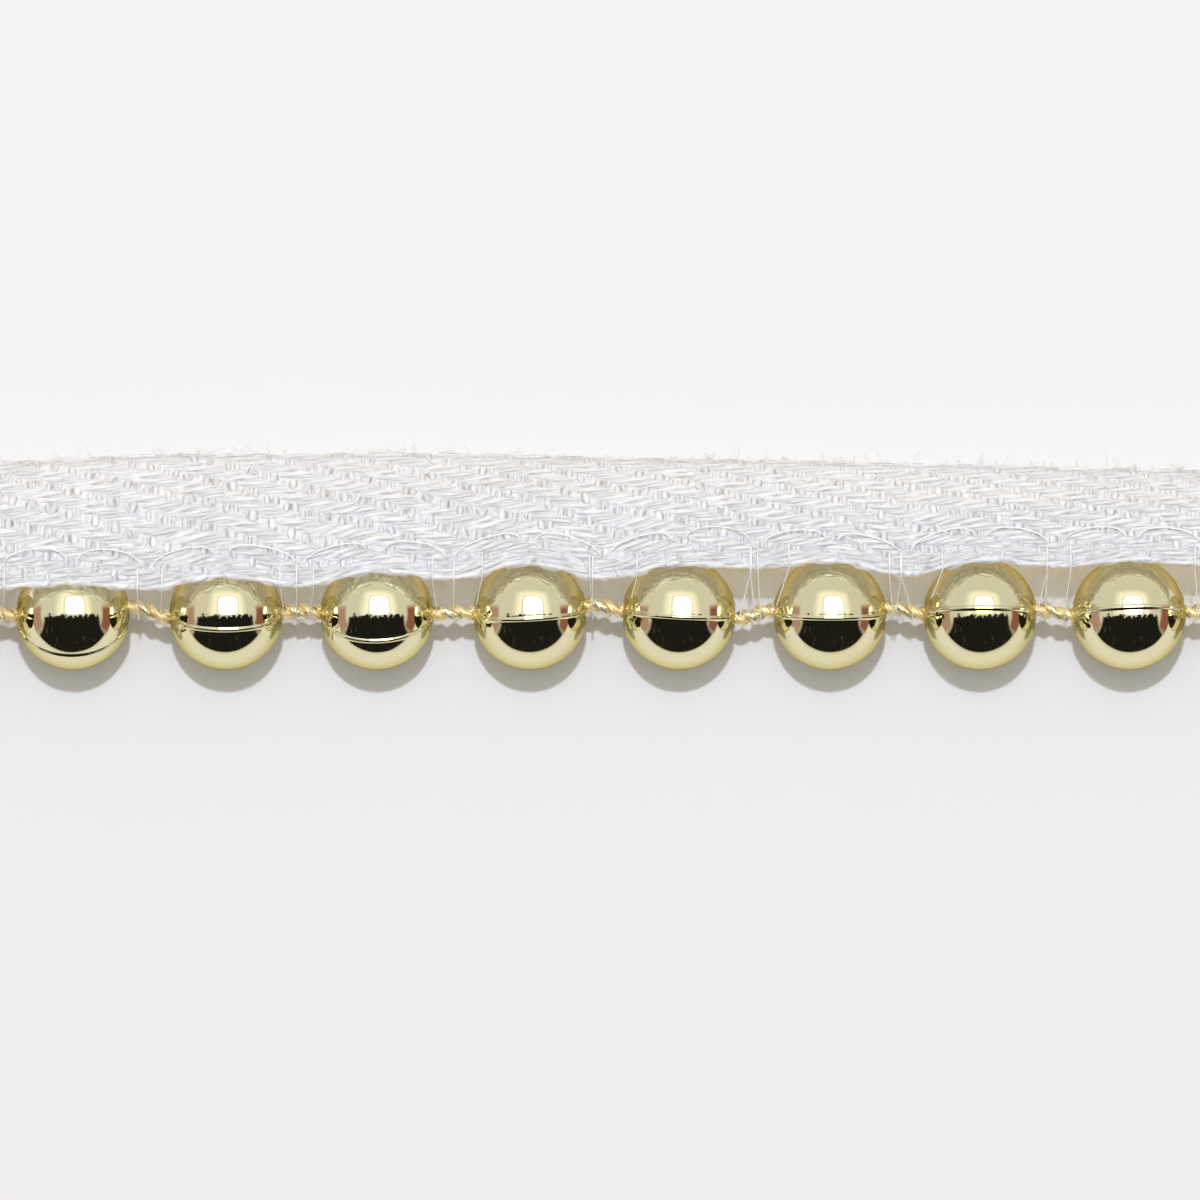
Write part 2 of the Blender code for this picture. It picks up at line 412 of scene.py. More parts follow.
def mirrored_room(way):
    """The room that the balls mirror, as a colour and how bright it is: the softbox with a glow round it,
    pale walls, a dark opening in front with a few faint upright gleams, and reddish sides next to it."""
    x, y, z = way.parts()
    ragged = (noise(way.tree, way, 9.0, detail=4.0) - 0.5) * 0.45
    front = (y + ragged).ramp(-0.02, -0.09)
    opening = front * x.size().ramp(0.88, 0.82) * z.ramp(0.03, 0.08)
    upright = way.vector_math("MULTIPLY", (22.0, 3.0, 3.0))
    gleam = noise(way.tree, upright, 1.0, detail=2.0).ramp(0.62, 0.80) * GLEAM_LEVEL
    side = (x.size() + ragged * 0.2).ramp(0.83, 0.89) * z.ramp(0.0, 0.04) * z.ramp(0.46, 0.34)
    side = side * y.ramp(0.30, 0.10) * y.ramp(-0.62, -0.40) * x.ramp(-0.5, 0.5, 0.6, 1.0)
    from_box_x = (x / z - SOFTBOX_MIDDLE[0]).size()
    from_box_y = (y / z - SOFTBOX_MIDDLE[1]).size()
    from_box = from_box_x.math("SMOOTH_MAX", from_box_y, 0.25) - SOFTBOX_HALF
    above = z.ramp(0.0, 0.1)
    glow = from_box.ramp(0.60, 0.08) * above * GLOW_LEVEL
    frame_shade = from_box.ramp(0.10, 0.03) * above * FRAME_SHADE
    box = from_box.ramp(0.02, -0.03) * above * BOX_LEVEL
    walls = (glow + WALL_LEVEL - frame_shade) * (opening * -1.0 + 1.0) * (side * -SIDE_SHADE + 1.0)
    level = walls + box + opening * (gleam + OPENING_LEVEL)
    return mix_colours(way.tree, side, WALL_COLOUR, SIDE_COLOUR), level


def add_world():
    """The room that the balls mirror, soft light from the front, and a plain pale backdrop for the camera."""
    world = bpy.data.worlds.new("studio")
    world.use_nodes = True
    bpy.context.scene.world = world
    tree = world.node_tree
    tree.nodes.clear()
    way = take(put(tree, "ShaderNodeTexCoord"), "Generated")
    soft_level = way.parts()[1].ramp(0.7, -0.7, 0.66, 0.56)
    room_colour, room_level = mirrored_room(way)
    low, high = (1.45, 0.93, 0.42, 1.0), (0.98, 1.05, 1.05, 1.0)
    soft_colour = mix_colours(tree, way.parts()[2].ramp(0.15, 0.85), low, high)
    soft = put(tree, "ShaderNodeBackground", {"Color": soft_colour, "Strength": soft_level})
    room = put(tree, "ShaderNodeBackground", {"Color": room_colour, "Strength": room_level})
    backdrop = put(tree, "ShaderNodeBackground", {"Strength": BACKDROP_LEVEL})
    path = put(tree, "ShaderNodeLightPath")
    lit = put(tree, "ShaderNodeMixShader", {0: take(path, "Is Glossy Ray")})
    tree.links.new(soft.outputs[0], lit.inputs[1])
    tree.links.new(room.outputs[0], lit.inputs[2])
    seen = put(tree, "ShaderNodeMixShader", {0: take(path, "Is Camera Ray")})
    tree.links.new(lit.outputs[0], seen.inputs[1])
    tree.links.new(backdrop.outputs[0], seen.inputs[2])
    output = tree.nodes.new("ShaderNodeOutputWorld")
    tree.links.new(seen.outputs[0], output.inputs["Surface"])


def add_floor(finish):
    half = 1.5
    mesh = bpy.data.meshes.new("floor")
    corners = [(-half, -half, 0), (half, -half, 0), (half, half, 0), (-half, half, 0)]
    mesh.from_pydata(corners, [], [(0, 1, 2, 3)])
    mesh.materials.append(finish)
    floor = bpy.data.objects.new("floor", mesh)
    bpy.context.scene.collection.objects.link(floor)


# Finishes

WHITE = (0.935, 0.928, 0.895, 1.0)
WARM_WHITE = (0.885, 0.876, 0.838, 1.0)
ALONG_X = (1800.0, 15000.0, 15000.0)
ALONG_Y = (15000.0, 1800.0, 1800.0)
GROUND_LIGHT_PASSED = 0.55
COTTON_BUMP = 0.06 * MM
PLATING_BUMP = 0.05 * MM
PIT_COLOUR = (0.10, 0.08, 0.03, 1.0)
TABLE_LIGHT = (0.675, 0.675, 0.675, 1.0)
TABLE_SHADE = (0.665, 0.665, 0.665, 1.0)

# The metal films: their two tones, the tint at a grazing angle, and how rough, crumpled and metallic they
# are. The second tone is also painted crease shade: the colour darkens towards it where a film is crumpled.
# The balls' own attribute says where they are crumpled.
METAL_FILMS = {
    "gold_plating": {
        "plating": (0.84, 0.79, 0.52, 1.0),
        "deep_and_crease_shade": (0.80, 0.72, 0.38, 1.0),
        "edge_tint": (0.75, 0.66, 0.32, 1.0),
        "seed": 1.0,
        "polish": 0.045,
    },
    "gold_foil": {
        "plating": (1.0, 0.96, 0.76, 1.0),
        "deep_and_crease_shade": (0.96, 0.86, 0.50, 1.0),
        "edge_tint": (1.0, 0.97, 0.85, 1.0),
        "seed": 2.0,
        "polish": 0.18,
        "crumple": 0.8,
        "metallic": 0.85,
    },
    "orange_foil": {
        "plating": (1.0, 0.84, 0.48, 1.0),
        "deep_and_crease_shade": (0.97, 0.70, 0.30, 1.0),
        "edge_tint": (1.0, 0.93, 0.75, 1.0),
        "seed": 5.0,
        "polish": 0.32,
        "crumple": 0.5,
        "metallic": 0.6,
    },
}


def new_material(name):
    """A material with its Principled shader and the place on the object."""
    material = bpy.data.materials.new(name)
    material.use_nodes = True
    tree = material.node_tree
    shader = tree.nodes["Principled BSDF"]
    spot = take(put(tree, "ShaderNodeTexCoord"), "Object")
    return material, tree, shader, spot


def add_bump(tree, shader, height, depth):
    node = put(tree, "ShaderNodeBump", {"Height": height, "Distance": depth, "Strength": 1.0})
    feed(shader.inputs["Normal"], take(node))


def cotton_group():
    """Cotton fibres: a colour with soft blotches and a fine height, stretched along the yarn."""
    tree, given, result = new_tree(
        "cotton_fibres",
        "ShaderNodeTree",
        (
            ("Spot", "vector"),
            ("Stretch", "vector"),
            ("Light", "colour"),
            ("Shade", "colour"),
            ("Seed", "number"),
        ),
        (("Color", "colour"), ("Roughness", "number"), ("Height", "number")),
    )
    stretched = given["Spot"].vector_math("MULTIPLY", given["Stretch"])
    fibres = noise(tree, stretched, 1.0, detail=5.0, seed=given["Seed"])
    lumps = noise(tree, given["Spot"], 900.0, detail=2.0, seed=given["Seed"])
    blotches = noise(tree, given["Spot"], 160.0, detail=2.0, seed=given["Seed"])
    shade = (fibres * 0.6 + lumps * 0.25 + blotches * 0.35).ramp(0.45, 0.78)
    feed(result.inputs["Color"], mix_colours(tree, shade, given["Light"], given["Shade"]))
    feed(result.inputs["Roughness"], fibres.ramp(0.2, 0.8, 0.8, 1.0))
    feed(result.inputs["Height"], fibres * 0.7 + lumps * 0.5)
    return tree


def cotton_material(name, group, stretch, light, shade, seed, light_passed=0.0):
    """Cotton that may let part of the lamps' light through to what lies under it."""
    material, tree, shader, spot = new_material(name)
    node = put(tree, "ShaderNodeGroup", node_tree=group)
    values = {"Spot": spot, "Stretch": stretch, "Light": light, "Shade": shade, "Seed": seed}
    for label, value in values.items():
        feed(node.inputs[label], value)
    feed(shader.inputs["Base Color"], take(node, "Color"))
    feed(shader.inputs["Roughness"], take(node, "Roughness"))
    passed = take(put(tree, "ShaderNodeLightPath"), "Is Shadow Ray") * light_passed
    feed(shader.inputs["Alpha"], passed * -1.0 + 1.0)
    shader.inputs["Subsurface Weight"].default_value = 1.0
    shader.inputs["Subsurface Scale"].default_value = 0.9 * MM
    shader.inputs["Subsurface Radius"].default_value = (1.0, 0.93, 0.8)
    shader.inputs["Sheen Weight"].default_value = 0.15
    shader.inputs["Sheen Roughness"].default_value = 0.5
    shader.inputs["Specular IOR Level"].default_value = 0.2
    add_bump(tree, shader, take(node, "Height"), COTTON_BUMP)
    return material


def plating_group():
    """Worn plating: small dark pits, faint scratches, and crumpled foil where the mask is high. Where it is
    crumpled, the colour is also darkened towards the deep tone as painted crease shade.
    """
    tree, given, result = new_tree(
        "plating_wear",
        "ShaderNodeTree",
        (
            ("Spot", "vector"),
            ("Crumple", "number"),
            ("Plating", "colour"),
            ("Deep And Crease Shade", "colour"),
            ("Pit", "colour"),
            ("Polish", "number"),
            ("Seed", "number"),
        ),
        (("Color", "colour"), ("Roughness", "number"), ("Height", "number")),
    )
    spot, crumple = given["Spot"], given["Crumple"]
    inputs = {"Vector": spot, "W": given["Seed"], "Scale": 1300.0}
    cells = put(tree, "ShaderNodeTexVoronoi", inputs, voronoi_dimensions="4D")
    chance = take(cells, "Color").parts()[0]
    pits = take(cells, "Distance").ramp(0.16, 0.05) * chance.ramp(0.92, 0.93)
    tone = noise(tree, spot, 420.0, detail=3.0, seed=given["Seed"])
    foil = noise(tree, spot, 8000.0, detail=4.0, seed=given["Seed"])
    # Painted crease shade: where the foil is crumpled the colour darkens towards the deep tone, besides the
    # tone that varies at random.
    plate_and_crease_shade = mix_colours(tree, tone.ramp(0.45, 0.8) * 0.35 + crumple * 0.5, given["Plating"], given["Deep And Crease Shade"])
    feed(result.inputs["Color"], mix_colours(tree, pits, plate_and_crease_shade, given["Pit"]))
    dull = tone.ramp(0.3, 0.8, 0.0, 0.04)
    feed(result.inputs["Roughness"], dull + given["Polish"] + crumple * 0.10 + pits * 0.4)
    feed(result.inputs["Height"], tone * 0.05 + foil * crumple * 1.0 - pits * 0.25)
    return tree


def plating_material(name, group, plating, deep_and_crease_shade, edge_tint, seed, polish, crumple=None, metallic=1.0):
    """Metal film. Where no crumple is given, the piece's own attribute says how crumpled it is."""
    material, tree, shader, spot = new_material(name)
    mask = crumple
    if mask is None:
        mask = Term(put(tree, "ShaderNodeAttribute", attribute_name="crumple").outputs["Fac"])
    node = put(tree, "ShaderNodeGroup", node_tree=group)
    values = {"Spot": spot, "Crumple": mask, "Plating": plating, "Deep And Crease Shade": deep_and_crease_shade, "Polish": polish, "Seed": seed}
    for label, value in values.items():
        feed(node.inputs[label], value)
    node.inputs["Pit"].default_value = PIT_COLOUR
    feed(shader.inputs["Base Color"], take(node, "Color"))
    feed(shader.inputs["Roughness"], take(node, "Roughness"))
    shader.inputs["Metallic"].default_value = metallic
    shader.inputs["Specular Tint"].default_value = edge_tint
    add_bump(tree, shader, take(node, "Height"), PLATING_BUMP)
    return material


def clear_material():
    """Clear nylon with a slight haze along it."""
    material, tree, shader, spot = new_material("clear_nylon")
    haze = noise(tree, spot, 2500.0, detail=3.0)
    feed(shader.inputs["Roughness"], haze.ramp(0.3, 0.8, 0.05, 0.30))
    feed(shader.inputs["Base Color"], mix_colours(tree, haze, (1.0, 1.0, 1.0, 1.0), (0.93, 0.94, 0.95, 1.0)))
    shader.inputs["Transmission Weight"].default_value = 0.4
    shader.inputs["IOR"].default_value = 1.3
    return material


def floor_material():
    material, tree, shader, spot = new_material("pale_table")
    grain = noise(tree, spot, 40.0, detail=3.0)
    feed(shader.inputs["Base Color"], mix_colours(tree, grain, TABLE_LIGHT, TABLE_SHADE))
    shader.inputs["Roughness"].default_value = 0.9
    shader.inputs["Specular IOR Level"].default_value = 0.1
    return material


# Shape of the cloth


def row_value(column, x):
    """A column of the tape's rows at x, eased from one row to the next, in metres."""
    spot = (x + LENGTH / 2) / ROW_SPACING
    index = max(0, min(int(spot), len(TAPE_ROWS) - 2))
    share = max(0.0, min(spot - index, 1.0))
    eased = share * share * (3 - 2 * share)
    low, high = TAPE_ROWS[index][column], TAPE_ROWS[index + 1][column]
    return (low + eased * (high - low)) * MM


FINE_STEPS = 40


@lru_cache(maxsize=None)
def cloth_line(x):
    """The cloth's middle line across at x, and how far each of its points is from the near edge."""
    near, far = row_value("near", x), row_value("far", x)
    middle_radius = BALL_RADIUS + CLOTH_ABOVE_BALL
    top = AXIS_HEIGHT + math.sqrt(middle_radius**2 - near**2) - DIP_SHARE * row_value("dip", x)
    near_way = Vector((math.cos(NEAR_SLOPE), -math.sin(NEAR_SLOPE)))
    far_way = Vector((math.cos(FAR_SLOPE), -math.sin(FAR_SLOPE)))
    start = Vector((near + EDGE_INSET, top))
    end = Vector((far - EDGE_INSET, EDGE_INSET))
    first, second = start + NEAR_HANDLE * near_way, end - FAR_HANDLE * far_way
    points, run = [], []
    for step in range(FINE_STEPS + 1):
        t = step / FINE_STEPS
        s = 1 - t
        points.append(s**3 * start + 3 * s * s * t * first + 3 * s * t * t * second + t**3 * end)
        run.append(run[-1] + (points[-1] - points[-2]).length if run else 0.0)
    return points, run


def cloth_at(x, share):
    """The cloth's middle surface: its point, its upward normal and its way across, at x and at a share of its
    width from the near edge. Past an edge it runs on straight."""
    points, run = cloth_line(round(x, 7))
    goal = share * run[-1]
    index = max(0, min(bisect.bisect_right(run, goal) - 1, FINE_STEPS - 1))
    way = (points[index + 1] - points[index]).normalized()
    point = points[index] + (goal - run[index]) * way
    across = Vector((0, way.x, way.y))
    return place(x, point.x, point.y), Vector((0, -way.y, way.x)), across


def end_share(end):
    """Where an end lies across the cloth. The ends of the near selvedge lie closer together."""
    def spot(count):
        return min(count, SELVEDGE_ENDS) * SELVEDGE_SPACING + max(0.0, count - SELVEDGE_ENDS)

    return spot(end) / spot(ENDS - 1)


def crimp_share(end):
    """How strongly the yarns bend at an end: less in the pressed selvedges."""
    from_edge = min(0.8 * end, ENDS - end)
    return min(1.0, 0.25 + 0.15 * from_edge)


# Yarns

Stop = namedtuple("Stop", "spot upward sideways angle share")


def route_mesh(name, routes):
    """Lines of stops as a mesh of edges that carries what the yarn tree reads."""
    mesh = bpy.data.meshes.new(name)
    edges, first = [], 0
    for route in routes:
        edges += [(first + index, first + index + 1) for index in range(len(route) - 1)]
        first += len(route)
    stops = [stop for route in routes for stop in route]
    mesh.from_pydata([stop.spot for stop in stops], edges, [])
    for label, field in (("cloth_normal", "upward"), ("slide_way", "sideways")):
        layer = mesh.attributes.new(label, "FLOAT_VECTOR", "POINT")
        layer.data.foreach_set("vector", [value for stop in stops for value in getattr(stop, field)])
    for label, field in (("weave_angle", "angle"), ("crimp_share", "share")):
        layer = mesh.attributes.new(label, "FLOAT", "POINT")
        layer.data.foreach_set("value", [getattr(stop, field) for stop in stops])
    return mesh


def weave_angle(pick, end):
    """Ends go over two picks and under two, one step on at each end, so that the ridges fall to the right."""
    return math.pi / 2 * (pick + end + 0.5)


def warp_routes():
    steps = PICKS * STEPS_PER_PICK
    routes = []
    for end in range(ENDS):
        route = []
        for step in range(steps + 1):
            x = LENGTH * (step / steps - 0.5)
            spot, upward, across = cloth_at(x, end_share(end))
            angle = weave_angle((x + LENGTH / 2) / PICK_PITCH - 0.5, end)
            route.append(Stop(spot, upward, across, angle, crimp_share(end)))
        routes.append(route)
    return routes


def weft_route():
    """One yarn that goes to and fro across the tape and turns round its outer ends."""
    def stop(x, end, pick, share):
        low = max(0, min(int(end), ENDS - 2))
        at = end_share(low) + (end - low) * (end_share(low + 1) - end_share(low))
        spot, upward, across = cloth_at(x, at)
        return Stop(spot, upward, Vector((1, 0, 0)), weave_angle(pick, end) + math.pi, share)

    route = []
    for pick in range(PICKS):
        x = -LENGTH / 2 + (pick + 0.5) * PICK_PITCH
        ends = [count / STEPS_PER_END for count in range((ENDS - 1) * STEPS_PER_END + 1)]
        if pick % 2:
            ends.reverse()
        route += [stop(x, end, pick, crimp_share(end)) for end in ends]
        if pick < PICKS - 1:
            outside = ENDS - 1 + TURN_REACH if pick % 2 == 0 else -TURN_REACH
            for share in (0.22, 0.5, 0.78):
                route.append(stop(x + share * PICK_PITCH, outside, pick, 0.0))
    return route


def yarn_tree():
    """Bends each line over and under the others, and lays it up from loosely twisted, uneven strands."""
    tree, given, result = new_tree(
        "woven_yarn",
        "GeometryNodeTree",
        (
            ("Routes", "shape"),
            ("Crimp", "number"),
            ("Slide", "number"),
            ("Strands", "count"),
            ("Strand Width", "number"),
            ("Strand Thickness", "number"),
            ("Spread", "number"),
            ("Rise", "number"),
            ("Lay", "number"),
            ("Unevenness", "number"),
            ("Seed", "number"),
            ("Sides", "count"),
            ("Finish", "finish"),
        ),
        (("Yarns", "shape"),),
    )
    lines = take(put(tree, "GeometryNodeMeshToCurve", {"Mesh": given["Routes"]}))
    inputs = {"Geometry": lines, "Amount": given["Strands"]}
    copies = put(tree, "GeometryNodeDuplicateElements", inputs, domain="SPLINE")
    copy = take(copies, "Duplicate Index")
    angle, share = own(tree, "weave_angle"), own(tree, "crimp_share")
    upward, sideways = own(tree, "cloth_normal", "FLOAT_VECTOR"), own(tree, "slide_way", "FLOAT_VECTOR")
    over_under = angle.sin().ramp(-0.9, 0.9, -1.0, 1.0)
    run = take(put(tree, "GeometryNodeSplineParameter"), "Length")
    turn = (run / given["Lay"] + copy / given["Strands"]) * (2 * math.pi)
    spot = take(put(tree, "GeometryNodeInputPosition"))
    own_seed = given["Seed"] + copy * 0.4
    wander = noise(tree, spot, 900.0, seed=own_seed, output="Color")
    stray = wander.vector_math("SUBTRACT", (0.5, 0.5, 0.5)) * given["Unevenness"]
    bend = upward * (over_under * given["Crimp"] * share + turn.cos() * given["Rise"])
    slide = sideways * (turn.sin() * given["Spread"] - angle.cos() * given["Slide"] * share)
    bent = move(tree, take(copies, "Geometry"), bend + slide + stray)
    upright = take(put(tree, "GeometryNodeSetCurveNormal", {"Curve": bent, "Normal": upward}, mode="FREE"))
    swell = noise(tree, spot, 1700.0, seed=own_seed).ramp(0.25, 0.75, 0.75, 1.25)
    swollen = take(put(tree, "GeometryNodeSetCurveRadius", {"Curve": upright, "Radius": swell}))
    yarns = sweep(tree, swollen, given["Sides"], given["Strand Thickness"], given["Strand Width"])
    end_tree(tree, result, yarns, given["Finish"])
    return tree


def add_ground(finish):
    """The thin sheet that fills the cloth between its yarns."""
    stations, steps = PICKS * GROUND_STATIONS_PER_PICK, GROUND_STEPS_ACROSS
    bm = bmesh.new()
    rows = []
    for station in range(stations + 1):
        x = LENGTH * (station / stations - 0.5)
        rows.append([bm.verts.new(cloth_at(x, step / steps)[0]) for step in range(steps + 1)])
    for low, high in zip(rows, rows[1:]):
        for corners in zip(low, high, high[1:], low[1:]):
            bm.faces.new(corners).smooth = True
    mesh = bpy.data.meshes.new("tape_ground")
    bm.to_mesh(mesh)
    bm.free()
    mesh.materials.append(finish)
    ground = bpy.data.objects.new("tape_ground", mesh)
    bpy.context.scene.collection.objects.link(ground)
    thickness = ground.modifiers.new("thickness", "SOLIDIFY")
    thickness.thickness = GROUND_THICKNESS
    thickness.offset = 0
    ground.data = bpy.data.meshes.new_from_object(ground.evaluated_get(bpy.context.evaluated_depsgraph_get()))
    ground.modifiers.clear()
    turn_outwards(ground.data)
    return ground


def add_yarns(tree, finishes):
    """The yarns cast no shadow, because light can't be followed through so many layers of cotton. The ground
    under them casts it."""
    every_yarn = {"Strands": STRANDS_PER_YARN, "Sides": STRAND_SIDES, "Unevenness": YARN_UNEVENNESS}
    warp_values = {**WARP, **every_yarn, "Finish": finishes["warp"]}
    weft_values = {**WEFT, **every_yarn, "Finish": finishes["weft"]}
    warp = make_piece("warp_ends", tree, route_mesh("warp_routes", warp_routes()), warp_values)
    weft = make_piece("weft_picks", tree, route_mesh("weft_route", [weft_route()]), weft_values)
    warp.visible_shadow = weft.visible_shadow = False
    return warp, weft


# Fuzz

EDGE_TUBE_REACH = 0.12 * MM

# The loose fibres on the cloth, and the longer and finer ones that stand off its edges
CLOTH_FUZZ = {
    "Density": 3.3e6,
    "Length": 0.6 * MM,
    "Diameter": 0.02 * MM,
    "Curl": 0.45 * MM,
    "Joints": 4,
    "Least Lean": 0.9,
    "Seed": 5,
}
EDGE_FUZZ = {
    "Density": 9.0e6,
    "Length": 0.9 * MM,
    "Diameter": 0.014 * MM,
    "Curl": 0.7 * MM,
    "Joints": 7,
    "Least Lean": 0.2,
    "Seed": 8,
}


def edge_mesh():
    """Plain tubes along the two outermost ends, to scatter the fuzz of the edges on."""
    bm = bmesh.new()
    for share in (0.0, 1.0):
        rings = []
        for step in range(PICKS + 1):
            x = LENGTH * (step / PICKS - 0.5)
            spot, upward, across = cloth_at(x, share)
            reaches = [EDGE_TUBE_REACH * way for way in (across, upward, -across, -upward)]
            rings.append([bm.verts.new(spot + reach) for reach in reaches])
        for low, high in zip(rings, rings[1:]):
            for corner in range(4):
                beside = (corner + 1) % 4
                bm.faces.new((low[corner], low[beside], high[beside], high[corner]))
    bmesh.ops.recalc_face_normals(bm, faces=bm.faces)
    mesh = bpy.data.meshes.new("edge_tubes")
    bm.to_mesh(mesh)
    bm.free()
    return mesh


def fuzz_tree():
    """Loose fibres: short bent hairs, three-sided, scattered on a mesh from a fixed seed and kept above the
    table."""
    tree, given, result = new_tree(
        "cotton_fuzz",
        "GeometryNodeTree",
        (
            ("Yarns", "shape"),
            ("Density", "number"),
            ("Length", "number"),
            ("Diameter", "number"),
            ("Curl", "number"),
            ("Joints", "count"),
            ("Least Lean", "number"),
            ("Seed", "count"),
            ("Finish", "finish"),
        ),
        (("Fuzz", "shape"),),
    )
    inputs = {"Mesh": given["Yarns"], "Density": given["Density"], "Seed": given["Seed"]}
    scatter = put(tree, "GeometryNodeDistributePointsOnFaces", inputs)
    upright = put(tree, "FunctionNodeAlignRotationToVector", {"Vector": take(scatter, "Normal")}, axis="Z")
    least, most = vector(tree, 0.0, given["Least Lean"], 0.0), (0.0, 1.5, 2 * math.pi)
    inputs = {"Min": least, "Max": most, "Seed": given["Seed"]}
    turn = put(tree, "FunctionNodeRandomValue", inputs, data_type="FLOAT_VECTOR")
    leaning = put(tree, "FunctionNodeEulerToRotation", {0: take(turn)})
    inputs = {0: take(upright), 1: take(leaning)}
    rotation = put(tree, "FunctionNodeRotateRotation", inputs, rotation_space="LOCAL")
    joint_length = given["Length"] / (given["Joints"] - 1.0)
    inputs = {"Count": given["Joints"], "Offset": vector(tree, 0.0, 0.0, joint_length)}
    hair = put(tree, "GeometryNodeMeshLine", inputs)
    reach = put(tree, "FunctionNodeRandomValue", {2: 0.35, 3: 1.0, "Seed": given["Seed"]}, data_type="FLOAT")
    inputs = {
        "Points": take(scatter, "Points"),
        "Instance": take(hair),
        "Rotation": take(rotation),
        "Scale": take(reach),
    }
    sown = put(tree, "GeometryNodeInstanceOnPoints", inputs)
    real = take(put(tree, "GeometryNodeRealizeInstances", {"Geometry": take(sown)}))
    spot = take(put(tree, "GeometryNodeInputPosition"))
    wave = noise(tree, spot, 2200.0, seed=3.0, output="Color").vector_math("SUBTRACT", (0.5, 0.5, 0.5))
    x, y, z = (spot + wave * given["Curl"]).parts()
    curled = move(tree, real, position=vector(tree, x, y, z.math("MAXIMUM", given["Diameter"])))
    lines = take(put(tree, "GeometryNodeMeshToCurve", {"Mesh": curled}))
    hairs = sweep(tree, lines, 3, given["Diameter"], given["Diameter"])
    end_tree(tree, result, hairs, given["Finish"])
    return tree


# Clear sewing thread


def strand_tree():
    """Draws a round strand along each line."""
    tree, given, result = new_tree(
        "drawn_strand",
        "GeometryNodeTree",
        (("Routes", "shape"), ("Diameter", "number"), ("Sides", "count"), ("Finish", "finish")),
        (("Strands", "shape"),),
    )
    lines = take(put(tree, "GeometryNodeMeshToCurve", {"Mesh": given["Routes"]}))
    drawn = sweep(tree, lines, given["Sides"], given["Diameter"], given["Diameter"])
    end_tree(tree, result, drawn, given["Finish"])
    return tree


def smooth_line(points, steps=6):
    """A Catmull-Rom curve through the points, as points."""
    padded = [2 * points[0] - points[1], *points, 2 * points[-1] - points[-2]]
    line = []
    for before, start, end, after in zip(padded, padded[1:], padded[2:], padded[3:]):
        for step in range(steps):
            t = step / steps
            way = 0.5 * (end - before)
            exit_way = 0.5 * (after - start)
            cubic = 2 * (start - end) + way + exit_way
            square = 3 * (end - start) - 2 * way - exit_way
            line.append(start + t * way + t * t * square + t**3 * cubic)
    return [*line, points[-1]]


def line_mesh(name, lines):
    mesh = bpy.data.meshes.new(name)
    edges, first = [], 0
    for line in lines:
        edges += [(first + index, first + index + 1) for index in range(len(line) - 1)]
        first += len(line)
    mesh.from_pydata([point for line in lines for point in line], edges, [])
    return mesh


STITCH_DIAMETER = 0.06 * MM
STITCH_SIDES = 6
STITCH_RISE = 0.30 * MM
STITCH_SEED = 12

# One arc of the needle thread: shares of its length, of how far back it reaches, and of its rise
ARC_STOPS = (
    {"along": 0.0, "back": 0.0, "rise": -0.25},
    {"along": 0.03, "back": 0.3, "rise": 0.75},
    {"along": 0.2, "back": 0.8, "rise": 1.0},
    {"along": 0.5, "back": 1.0, "rise": 1.05},
    {"along": 0.8, "back": 0.8, "rise": 1.0},
    {"along": 0.97, "back": 0.3, "rise": 0.75},
    {"along": 1.0, "back": 0.0, "rise": -0.25},
)


def on_cloth(x, back, rise):
    """A point above the cloth, a distance back from its near edge."""
    _, run = cloth_line(round(x, 7))
    spot, upward, _ = cloth_at(x, back / run[-1])
    return spot + rise * upward


def needle_arcs(rng):
    """The arcs of the needle thread on the tape. Each dives in where the next one starts."""
    lines = []
    count = 2 * len(BALLS)
    for index in range(count):
        start = -LENGTH / 2 + index * ROW_SPACING + rng.uniform(0.15, 0.35) * MM
        end = start + ROW_SPACING - rng.uniform(0.35, 0.6) * MM
        low = rng.uniform(0.75, 1.0) * MM
        peak = low + rng.uniform(0.45, 0.75) * MM
        points = []
        for stop in ARC_STOPS:
            x = start + stop["along"] * (end - start)
            points.append(on_cloth(x, low + stop["back"] * (peak - low), stop["rise"] * STITCH_RISE))
        lines.append(smooth_line(points))
    return lines


# Strands in each gap: where each crosses the tape's edge and where it meets the gold thread, in millimetres
# from the gap's middle
STRAND_FANS = (
    ((-0.50, -0.45), (0.35, 0.20)),
    ((-0.41, -0.44), (0.62, 0.55)),
    ((-0.90, -0.75), (-0.10, -0.15), (0.55, 0.35)),
    ((-0.85, -0.70), (0.02, 0.00), (1.30, 0.95)),
    ((-0.50, -0.58), (-0.62, -0.50), (1.45, 1.00)),
    ((-0.24, -0.02), (-0.15, -0.60), (0.10, 0.30), (1.50, 0.90)),
    ((-0.80, -0.55), (-0.30, -0.45), (-0.20, 0.30), (1.55, 0.90)),
    ((-0.40, -0.45), (-0.35, -0.80), (0.60, 0.40)),
    ((-0.60, -0.40), (0.10, 0.25), (1.20, 0.85)),
)


def looper_strands(rng):
    """The strands that run from the tape over its edge and round the gold thread, in a fan at each gap."""
    lines = []
    for gap, fan in enumerate(STRAND_FANS):
        middle = (ball_middle(gap) + ball_middle(gap + 1)) / 2
        for edge_side, thread_side in fan:
            top_x = middle + (edge_side + rng.uniform(-0.05, 0.05)) * MM
            low_x = middle + (thread_side + rng.uniform(-0.05, 0.05)) * MM
            drop = on_cloth(top_x, -0.30 * MM, 0.05 * MM)
            target = place(low_x, 0.0, AXIS_HEIGHT + 0.40 * MM)
            points = [
                on_cloth(top_x, rng.uniform(0.8, 1.1) * MM, -0.1 * MM),
                on_cloth(top_x, 0.65 * MM, STITCH_RISE),
                on_cloth(top_x, 0.0, STITCH_RISE),
                drop,
                drop.lerp(target, 0.5) + Vector((0, 0, -0.05 * MM)),
                target,
                place(low_x, -0.28 * MM, AXIS_HEIGHT + 0.1 * MM),
                place(low_x, -0.12 * MM, AXIS_HEIGHT - 0.3 * MM),
            ]
            lines.append(smooth_line(points, steps=4))
    return lines


